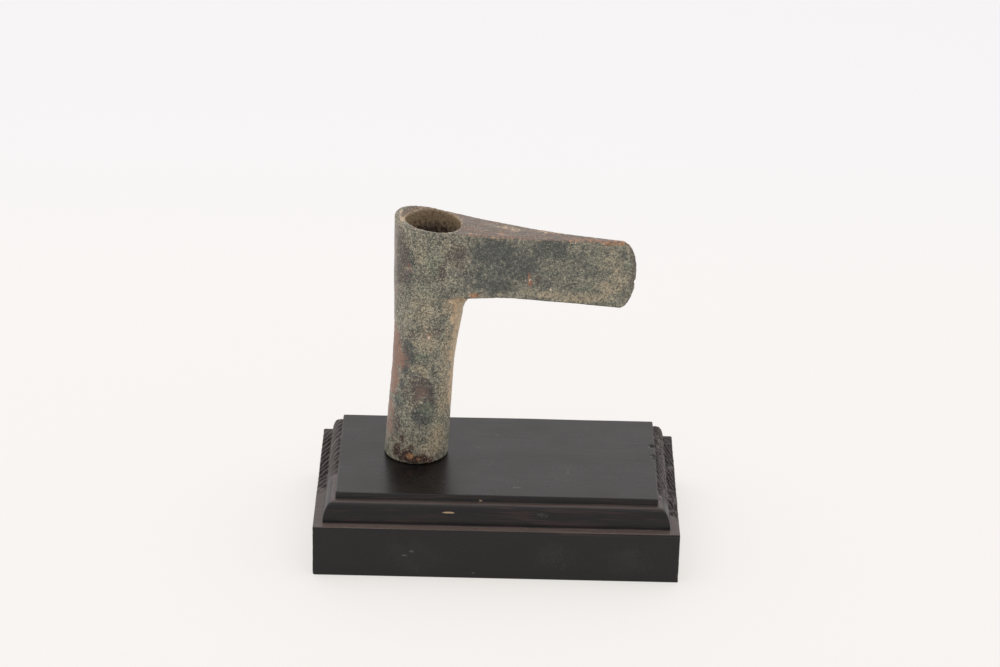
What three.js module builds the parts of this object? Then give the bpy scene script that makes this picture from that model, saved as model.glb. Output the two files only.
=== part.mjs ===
// Socketed bronze axe head standing on a stepped, moulded wooden plinth.
// Millimetres, +Z up. The origin is the centre of the plinth's underside.
// +X runs along the plinth, from the haft socket towards the cutting edge.
import * as THREE from "three";

const { lerp, smoothstep, degToRad } = THREE.MathUtils;
const QUARTER_TURN = Math.PI / 2;

// ---- Plinth: driving dimensions --------------------------------------------------------------
const PLINTH_LENGTH = 170;
const PLINTH_DEPTH = 100;
const BLOCK_HEIGHT = 25.2; // plain lower block, up to the ledge
const LEDGE_WIDTH = 4.4; // flat step between the block's face and the ovolo
const OVOLO_WIDTH = 5;
const OVOLO_HEIGHT = 9.7;
const QUIRK_WIDTH = 0.8; // narrow flat between the ovolo and the top slab
const SLAB_HEIGHT = 3.4; // upright edge of the top slab
const ARRIS_RADIUS = 0.7; // worn edges of the wood
const ARC_STEPS = 5; // facets on each round stretch of the moulding
const PLINTH_HEIGHT = BLOCK_HEIGHT + OVOLO_HEIGHT + SLAB_HEIGHT;

// ---- Axe head: driving dimensions, in its own frame, with its origin at the centre of the foot ----
const FOOT_PLACE = { x: -38.5, y: 4 }; // where the socket stands on the plinth
const STANDING_GAP = 0.3; // clearance between the foot and the plinth

// Haft socket: a tube, upright in its upper half, that leans back towards the foot.
const FOOT_RADIUS = 15;
const WAIST_RADIUS = 14.5;
const RIM_RADIUS = 14.75;
const WAIST_HEIGHT = 50;
const TUBE_OFFSET = 3.3; // how far the upper tube stands forward of the foot
const LEAN_HEIGHT = 62; // height at which the lean begins
const LEAN_SLOPE = 0.057;
const LEAN_SOFTNESS = 5;

// Bore for the haft, set forward in the mouth so that the wall behind it is the thick one.
const BORE_FOOT_RADIUS = 12.2;
const BORE_MOUTH_RADIUS = 12.95;
const BORE_MOUTH_X = 6.2;

// Blade: a wedge whose sides leave the tube on its tangents and meet at the cutting edge.
const RIM_HEIGHT = 119.5; // top face above the foot, at the centre of the mouth
const TOP_DIP = degToRad(5.4); // fall of the top face towards the edge
const TOP_SAG = 1.75; // hollow of the top face between mouth and edge
const UNDERSIDE_DIP = degToRad(7.85); // fall of the underside towards the edge
const DIP_START = 37; // where the underside turns from level to falling
const DIP_SOFTNESS = 8; // length over which it turns
const EDGE_X = 100.95; // furthest point of the cutting edge
const EDGE_HALF_THICKNESS = 0.5;
const EDGE_STRETCH = 2.2; // length of the edge's bevel against its half thickness
const SIDE_HOLLOW = 1.1; // how far each side curves in between tube and edge
const EDGE_CREST = 0.56; // share of the blade's height at which the edge reaches furthest
// Each end of the edge leans back from the crest, and then turns in at a rounded corner.
const LOWER_CORNER = { lean: 4.3, drop: 1.4, power: 3 };
const UPPER_CORNER = { lean: 0, drop: 5.5, power: 1.85 };

// Throat: the tube swells forward below the blade and turns into the blade's underside.
const FLARE_START = 48;
const FLARE_END = 72.6;
const FLARE_REACH = 2.8;
const FLARE_POWER = 1.5;
const THROAT_RADIUS = 14.5;
const THROAT_INSET = 2.6; // how far the blade's sides overhang the throat

// Rounded arrises.
const FOOT_ROUND = 0.8;
const LOWER_ROUND = 0.9;
const RIM_BACK_ROUND = 1; // on the thick wall behind the haft
const RIM_FRONT_ROUND = 0.8;
const RIM_CROWN = 1.1; // how far the back of the rim stands above the plane of the mouth
const BORE_ROUND = 0.4;
const NOSE_INSET_LIMIT = 0.6; // a rounding takes at most this share of the blade's half thickness

// Facets round a section, and sections along each stretch.
const BACK_SEGMENTS = 34;
const SIDE_SEGMENTS = 11;
const NOSE_SEGMENTS = 6;
const TAIL_SEGMENTS = 2 * SIDE_SEGMENTS + NOSE_SEGMENTS;
const STEPS = {
  foot: 3, tube: 7, flare: 5, throat: 6, underside: 4, arris: 2, edge: 5, rim: 3, top: 3, bore: 5,
};

// Shares of a stretch in even steps, up to 1. Its start is left out, because the stretch before ends there.
const shares = (count) => Array.from({ length: count }, (_, i) => (i + 1) / count);

// 0 at both ends of a stretch and 1 in its middle.
const bow = (share) => 4 * share * (1 - share);

// A solid skinned over rings of equal length, each running anticlockwise seen from above. The last ring
// joins the first where looped is true, and otherwise both end rings are closed with a flat face.
function loft(rings, looped) {
  const size = rings[0].length;
  const faces = [];
  const at = (ring, place) => (ring % rings.length) * size + (place % size);
  const spans = looped ? rings.length : rings.length - 1;
  for (let ring = 0; ring < spans; ring += 1) {
    for (let place = 0; place < size; place += 1) {
      faces.push(at(ring, place), at(ring, place + 1), at(ring + 1, place + 1));
      faces.push(at(ring, place), at(ring + 1, place + 1), at(ring + 1, place));
    }
  }
  for (let place = 1; place < size - 1 && !looped; place += 1) {
    faces.push(at(0, 0), at(0, place + 1), at(0, place));
    faces.push(at(spans, 0), at(spans, place), at(spans, place + 1));
  }
  const geometry = new THREE.BufferGeometry().setFromPoints(rings.flat());
  geometry.setIndex(faces);
  geometry.computeVertexNormals();
  return geometry;
}

// ---- Plinth ---------------------------------------------------------------------------------

// Section of the plinth's side as (inset, height), from the underside up to the top face.
function mouldingProfile() {
  const ovoloTop = BLOCK_HEIGHT + OVOLO_HEIGHT;
  const slabInset = LEDGE_WIDTH + OVOLO_WIDTH + QUIRK_WIDTH;
  const profile = new THREE.Path();
  profile.moveTo(ARRIS_RADIUS, 0);
  profile.absarc(ARRIS_RADIUS, ARRIS_RADIUS, ARRIS_RADIUS, -QUARTER_TURN, -Math.PI, true);
  profile.absarc(ARRIS_RADIUS, BLOCK_HEIGHT - ARRIS_RADIUS, ARRIS_RADIUS, Math.PI, QUARTER_TURN, true);
  profile.lineTo(LEDGE_WIDTH, BLOCK_HEIGHT);
  profile.absellipse(
    LEDGE_WIDTH + OVOLO_WIDTH, BLOCK_HEIGHT, OVOLO_WIDTH, OVOLO_HEIGHT, Math.PI, QUARTER_TURN, true);
  profile.lineTo(slabInset, ovoloTop);
  profile.lineTo(slabInset, PLINTH_HEIGHT - ARRIS_RADIUS);
  profile.absarc(
    slabInset + ARRIS_RADIUS, PLINTH_HEIGHT - ARRIS_RADIUS, ARRIS_RADIUS, Math.PI, QUARTER_TURN, true);
  return profile.getPoints(ARC_STEPS);
}

// The profile is mitred round the block: one rectangle for each of its points.
function plinthGeometry() {
  const rectangles = mouldingProfile().map(({ x: inset, y: height }) => {
    const halfLength = PLINTH_LENGTH / 2 - inset;
    const halfDepth = PLINTH_DEPTH / 2 - inset;
    return [[-1, -1], [1, -1], [1, 1], [-1, 1]].map(
      ([alongX, alongY]) => new THREE.Vector3(alongX * halfLength, alongY * halfDepth, height));
  });
  return loft(rectangles, false);
}

// ---- Axe head: the surfaces that its sections lie between ---------------------------------------

// Centre of the tube along X at a height.
function tubeCentre(height) {
  const below = (LEAN_HEIGHT - height) / LEAN_SOFTNESS;
  return TUBE_OFFSET - LEAN_SLOPE * LEAN_SOFTNESS * Math.log(1 + Math.exp(below));
}

function tubeRadius(height) {
  const lower = lerp(FOOT_RADIUS, WAIST_RADIUS, smoothstep(height, 0, WAIST_HEIGHT));
  return lower + (RIM_RADIUS - WAIST_RADIUS) * smoothstep(height, WAIST_HEIGHT, RIM_HEIGHT);
}

function topHeight(x) {
  const along = Math.max(0, (x - BORE_MOUTH_X) / (EDGE_X - BORE_MOUTH_X));
  return RIM_HEIGHT - Math.tan(TOP_DIP) * (x - BORE_MOUTH_X) - TOP_SAG * bow(along);
}

// The throat's arc starts in the flare's last direction and ends level, at its crest.
const flareLean = Math.atan((FLARE_POWER * FLARE_REACH) / (FLARE_END - FLARE_START));
const throatCentre = {
  x: TUBE_OFFSET + WAIST_RADIUS + FLARE_REACH + THROAT_RADIUS * Math.cos(flareLean),
  z: FLARE_END - THROAT_RADIUS * Math.sin(flareLean),
};
const throatCrest = throatCentre.z + THROAT_RADIUS;

function undersideHeight(x) {
  const past = x - DIP_START;
  return throatCrest - (Math.tan(UNDERSIDE_DIP) * (past + Math.hypot(past, DIP_SOFTNESS))) / 2;
}

// Where the blade's sides leave the tube.
const sideStartX = TUBE_OFFSET + (RIM_RADIUS * (RIM_RADIUS - EDGE_HALF_THICKNESS)) / (EDGE_X - TUBE_OFFSET);

// 0 behind the haft, 1 on the blade.
function bladeSide(x) {
  return smoothstep(x, TUBE_OFFSET - RIM_RADIUS, sideStartX);
}

// 1 at the very back of the rim, 0 from the middle of the tube forwards.
function rimBack(x) {
  return 1 - smoothstep(x, TUBE_OFFSET - RIM_RADIUS, TUBE_OFFSET);
}

function rimRound(x) {
  return lerp(RIM_FRONT_ROUND, RIM_BACK_ROUND, rimBack(x));
}

// How far the rounding and the overhang of the blade's lower side have set in.
function clearOfTube(x) {
  return smoothstep(x, 0, TUBE_OFFSET + RIM_RADIUS);
}

// ---- Axe head: one section ------------------------------------------------------------------

// A closed outline in plan: a circle drawn out along +X to a rounded nose at noseX, with straight sides on
// the tangents. Each place has its outward direction and the half thickness of the wedge there.
function drawnOutCircle(centreX, radius, noseX) {
  const edgeCentre = EDGE_X - centreX - EDGE_STRETCH * EDGE_HALF_THICKNESS;
  const cosine = (radius - EDGE_HALF_THICKNESS) / edgeCentre;
  const angle = Math.acos(cosine);
  const sine = Math.sin(angle);
  const reach = noseX - centreX - radius;
  const drawn = reach / (EDGE_X - centreX - radius);
  const stretch = lerp(1, EDGE_STRETCH, drawn);
  const noseLength = cosine + stretch * (1 - cosine);
  const span = (reach + radius * (1 - noseLength)) / (1 - cosine * noseLength);
  const noseRadius = radius - span * cosine;
  const sideLength = span * sine;
  const tailLength = 2 * (sideLength + angle * noseRadius);

  const sideShare = sideLength / tailLength;
  const tailShare = (step) => {
    const even = step / TAIL_SEGMENTS;
    const fromEnd = Math.min(step, TAIL_SEGMENTS - step);
    const onNose = (fromEnd - SIDE_SEGMENTS) / NOSE_SEGMENTS;
    const fitted = fromEnd < SIDE_SEGMENTS
      ? (fromEnd / SIDE_SEGMENTS) * sideShare
      : sideShare + onNose * (1 - 2 * sideShare);
    return lerp(even, step === fromEnd ? fitted : 1 - fitted, drawn);
  };
  const tailPlace = (step) => {
    const share = tailShare(step);
    const hand = share > 0.5 ? 1 : -1;
    const run = Math.min(share, 1 - share) * tailLength;
    const turn = angle - Math.max(0, run - sideLength) / noseRadius;
    const along = run < sideLength
      ? radius * cosine + run * sine
      : span + noseRadius * (cosine + stretch * (Math.cos(turn) - cosine));
    const across = run < sideLength ? radius * sine - run * cosine : noseRadius * Math.sin(turn);
    return {
      x: centreX + along, y: hand * across, outX: Math.cos(turn), outY: hand * Math.sin(turn),
    };
  };
  const backPlace = (step) => {
    const turn = lerp(angle, 2 * Math.PI - angle, step / BACK_SEGMENTS);
    const [outX, outY] = [Math.cos(turn), Math.sin(turn)];
    return { x: centreX + radius * outX, y: radius * outY, outX, outY };
  };
  const places = [
    ...Array.from({ length: TAIL_SEGMENTS }, (_, step) => tailPlace(step)),
    ...Array.from({ length: BACK_SEGMENTS }, (_, step) => backPlace(step)),
  ];
  const sideStart = centreX + radius * cosine;
  return places.map((place) => {
    const past = Math.max(0, place.x - sideStart);
    const halfThickness = Math.max(EDGE_HALF_THICKNESS, (radius - past * cosine) * sine);
    return { ...place, halfThickness, past: past / (EDGE_X - sideStart) };
  });
}

// A section ring. inset(x) draws it inwards for a rounded arris, hollow is how much of the sides' hollow
// it takes, and height(x) lifts it to its place.
function section({ centreX, radius, noseX, height, inset = () => 0, hollow = 1 }) {
  return drawnOutCircle(centreX, radius, noseX).map((place) => {
    const limit = place.past > 0 ? NOSE_INSET_LIMIT * place.halfThickness : radius;
    const depth = Math.min(inset(place.x), limit);
    const squeeze = 1 - (hollow * SIDE_HOLLOW * bow(place.past)) / place.halfThickness;
    const x = place.x - depth * place.outX;
    return new THREE.Vector3(x, (place.y - depth * place.outY) * squeeze, height(x));
  });
}

// ---- Axe head: its sections from the foot, up the outside, over the top and down the bore ------------

function footRings() {
  return [0, ...shares(STEPS.foot)].map((share) => {
    const turn = share * QUARTER_TURN;
    const height = FOOT_ROUND * (1 - Math.cos(turn));
    return tubeRing(height, FOOT_ROUND * (1 - Math.sin(turn)));
  });
}

function tubeRings() {
  return shares(STEPS.tube).map((share) => tubeRing(lerp(FOOT_ROUND, FLARE_START, share), 0));
}

function tubeRing(height, inset) {
  const centreX = tubeCentre(height);
  const radius = tubeRadius(height);
  return section({
    centreX, radius, noseX: centreX + radius,
    height: () => height, inset: () => inset, hollow: height / FLARE_START,
  });
}

// A ring part of the way from one ring to another in plan, lifted to its own height.
function ringBetween(first, last, share, height) {
  return first.map((place, index) => {
    const { x, y } = place.clone().lerp(last[index], share);
    return new THREE.Vector3(x, y, height(x));
  });
}

// The nose's path up the flare and the throat. The inset narrows the section as the throat rises, so that
// the blade's sides overhang it.
function throatPath() {
  const flare = shares(STEPS.flare).map((share) => {
    const level = lerp(FLARE_START, FLARE_END, share);
    const reach = FLARE_REACH * share ** FLARE_POWER;
    return { x: tubeCentre(level) + tubeRadius(level) + reach, level, inset: 0 };
  });
  const throat = shares(STEPS.throat).map((share) => {
    const turn = lerp(flareLean, QUARTER_TURN, share);
    const level = throatCentre.z + THROAT_RADIUS * Math.sin(turn);
    const risen = (level - FLARE_END) / (throatCrest - FLARE_END);
    return { x: throatCentre.x - THROAT_RADIUS * Math.cos(turn), level, inset: THROAT_INSET * risen };
  });
  return [...flare, ...throat];
}

// Up the throat, out along the blade's underside and round the arris to its side. Behind the haft these
// rings rise in even steps.
function undersideRings() {
  const path = throatPath();
  const steps = path.length + STEPS.underside + STEPS.arris;
  const backHeight = (step) => lerp(FLARE_START, throatCrest + LOWER_ROUND, step / steps);
  const lifted = (step, bladeHeight) => (x) => lerp(backHeight(step), bladeHeight(x), bladeSide(x));
  const ring = (step, noseX, inset, bladeHeight) => section({
    centreX: tubeCentre(backHeight(step)), radius: tubeRadius(backHeight(step)), noseX,
    height: lifted(step, bladeHeight), inset: (x) => inset * clearOfTube(x),
  });
  const throat = path.map((nose, index) => ring(
    index + 1, nose.x, nose.inset, (x) => Math.min(nose.level, undersideHeight(x))));
  const arris = [0, ...shares(STEPS.arris)].map((share, index) => {
    const turn = share * QUARTER_TURN;
    const rise = LOWER_ROUND * (1 - Math.cos(turn));
    return ring(
      steps - STEPS.arris + index, EDGE_X - setback(LOWER_CORNER), LOWER_ROUND * (1 - Math.sin(turn)),
      (x) => undersideHeight(x) + rise);
  });
  const underside = shares(STEPS.underside).slice(0, -1).map((share, index) => ringBetween(
    throat.at(-1), arris[0], share, lifted(path.length + index + 1, undersideHeight)));
  return [...throat, ...underside, ...arris];
}

// How far the cutting edge stands back at an end of the blade.
function setback(corner) {
  return corner.lean + corner.drop;
}

// Levels up the blade, as shares of its height, with how far the cutting edge stands back there.
function edgeLevels() {
  const quarter = (corner, turn) => {
    const away = Math.cos(turn) ** (2 / corner.power);
    const turnedIn = 1 - Math.sin(turn) ** (2 / corner.power);
    return { away, drop: corner.lean * away ** 2 + corner.drop * turnedIn };
  };
  const lower = shares(STEPS.edge).map((share) => {
    const { away, drop } = quarter(LOWER_CORNER, share * QUARTER_TURN);
    return { level: EDGE_CREST * (1 - away), drop };
  });
  const upper = shares(STEPS.edge).map((share) => {
    const { away, drop } = quarter(UPPER_CORNER, (1 - share) * QUARTER_TURN);
    return { level: lerp(EDGE_CREST, 1, away), drop };
  });
  return [...lower, ...upper];
}

function bladeSection(level, drop, inset, lift) {
  const low = (x) => undersideHeight(x) + LOWER_ROUND;
  const high = (x) => topHeight(x) + RIM_CROWN * rimBack(x) - rimRound(x);
  const backX = TUBE_OFFSET - RIM_RADIUS;
  const backHeight = lerp(low(backX), high(backX), level);
  return {
    centreX: tubeCentre(backHeight), radius: tubeRadius(backHeight), noseX: EDGE_X - drop,
    height: (x) => lerp(low(x), high(x), level) + lift(x), inset,
  };
}

function bladeRings() {
  return edgeLevels().map(({ level, drop }) => section(bladeSection(level, drop, () => 0, () => 0)));
}

function rimRings() {
  return shares(STEPS.rim).map((share) => {
    const turn = share * QUARTER_TURN;
    const inset = (x) => rimRound(x) * (1 - Math.cos(turn));
    const lift = (x) => rimRound(x) * Math.sin(turn);
    return section(bladeSection(1, setback(UPPER_CORNER), inset, lift));
  });
}

// The top face: the blade's outline is drawn in, place by place, to the circle of the mouth.
function topRings() {
  const outline = rimRings().at(-1);
  const mouth = boreRing(1, BORE_ROUND, 0);
  return shares(STEPS.top).map((share) => ringBetween(
    outline, mouth, share, (x) => topHeight(x) + RIM_CROWN * rimBack(x) * (1 - share)));
}

// Ends of the bore's plain wall, as shares of its height.
const boreTop = 1 - BORE_ROUND / RIM_HEIGHT;
const boreFoot = BORE_ROUND / RIM_HEIGHT;

function boreRings() {
  const lip = shares(STEPS.arris).map((share) => {
    const turn = share * QUARTER_TURN;
    return boreRing(1, BORE_ROUND * (1 - Math.sin(turn)), -BORE_ROUND * (1 - Math.cos(turn)));
  });
  const wall = shares(STEPS.bore).map((share) => boreRing(lerp(boreTop, boreFoot, share), 0, 0));
  return [...lip, ...wall, boreRing(0, BORE_ROUND, 0)];
}

function boreRing(level, widening, lift) {
  const centreX = lerp(0, BORE_MOUTH_X, level);
  const radius = lerp(BORE_FOOT_RADIUS, BORE_MOUTH_RADIUS, level) + widening;
  return section({
    centreX, radius, noseX: centreX + radius, height: (x) => level * topHeight(x) + lift, hollow: 0,
  });
}

function axeHeadGeometry() {
  const rings = [
    ...footRings(), ...tubeRings(), ...undersideRings(), ...bladeRings(), ...rimRings(), ...topRings(),
    ...boreRings(),
  ];
  return loft(rings, true);
}

// ---- Assembly -------------------------------------------------------------------------------

const bronze = new THREE.MeshStandardMaterial({ color: 0x5f6459, roughness: 0.72, metalness: 0.5 });
const blackWood = new THREE.MeshStandardMaterial({ color: 0x1a1918, roughness: 0.45, metalness: 0 });

const plinth = new THREE.Mesh(plinthGeometry(), blackWood);
plinth.name = "plinth";

const axeHead = new THREE.Mesh(axeHeadGeometry(), bronze);
axeHead.name = "axe_head";
axeHead.position.set(FOOT_PLACE.x, FOOT_PLACE.y, PLINTH_HEIGHT + STANDING_GAP);

const part = new THREE.Group();
part.add(plinth, axeHead);

export default part;
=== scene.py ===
import math

import bmesh
import bpy
import numpy as np
from bpy.props import FloatProperty, FloatVectorProperty, IntProperty, PointerProperty
from mathutils import Matrix, Vector, noise
from mathutils.bvhtree import BVHTree


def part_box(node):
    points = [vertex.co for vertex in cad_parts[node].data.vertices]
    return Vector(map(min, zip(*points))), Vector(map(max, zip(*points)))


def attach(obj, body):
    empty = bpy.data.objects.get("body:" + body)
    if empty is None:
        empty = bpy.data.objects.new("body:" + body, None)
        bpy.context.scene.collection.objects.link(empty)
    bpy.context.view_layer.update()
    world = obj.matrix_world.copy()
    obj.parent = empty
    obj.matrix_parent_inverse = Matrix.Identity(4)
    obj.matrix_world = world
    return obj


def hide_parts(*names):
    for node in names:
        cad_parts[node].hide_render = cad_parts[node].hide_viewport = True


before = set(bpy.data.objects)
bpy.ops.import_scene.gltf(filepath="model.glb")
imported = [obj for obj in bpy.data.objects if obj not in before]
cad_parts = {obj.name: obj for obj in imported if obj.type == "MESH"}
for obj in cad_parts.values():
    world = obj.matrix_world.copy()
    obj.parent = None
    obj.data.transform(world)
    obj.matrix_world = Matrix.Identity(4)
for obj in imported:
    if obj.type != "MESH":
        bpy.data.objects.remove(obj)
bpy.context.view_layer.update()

bl_info = {
    "name": "Bronze Axe Head on a Plinth",
    "version": (1, 0, 0),
    "blender": (4, 5, 0),
    "location": "View3D > Sidebar > Axe Head",
    "description": "Dresses the bronze axe head, its black plinth and the stage round them",
    "category": "Object",
}

HEAD_LOW, HEAD_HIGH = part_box("axe_head")
PLINTH_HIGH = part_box("plinth")[1]
MM = 0.001

# In metres: how close two points are one point, how little the run of a straight edge strays, and
# the gap left between the head's foot and the plinth. Then the least cosine between an axis and
# what lies along it.
MERGE = 1e-6
EVEN = 5e-6
TOUCH = 0.03 * MM
ALIGNED = 0.999

# Each noise: size of its lumps in metres, octaves, seed.
NOISE = {
    "casting": (14 * MM, 2, 1),
    "grit": (1.5 * MM, 3, 2),
    "pits": (2.3 * MM, 2, 3),
    "stain_edges": (3.2 * MM, 3, 5),
    "tear_extent": (9 * MM, 2, 11),
    "tear_wander": (5 * MM, 2, 12),
    "tear_patches": (5 * MM, 2, 13),
    "tear_pits": (2 * MM, 2, 14),
    "planing": (25 * MM, 2, 21),
    "wood_lines": (1.6 * MM, 2, 22),
    "mark_edges": (3 * MM, 2, 23),
}

# The head's own origin: the left side of its foot, halfway between its faces, at its lowest point.
HEAD_ORIGIN = Vector((HEAD_LOW.x, (HEAD_LOW.y + HEAD_HIGH.y) / 2, HEAD_LOW.z))

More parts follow.
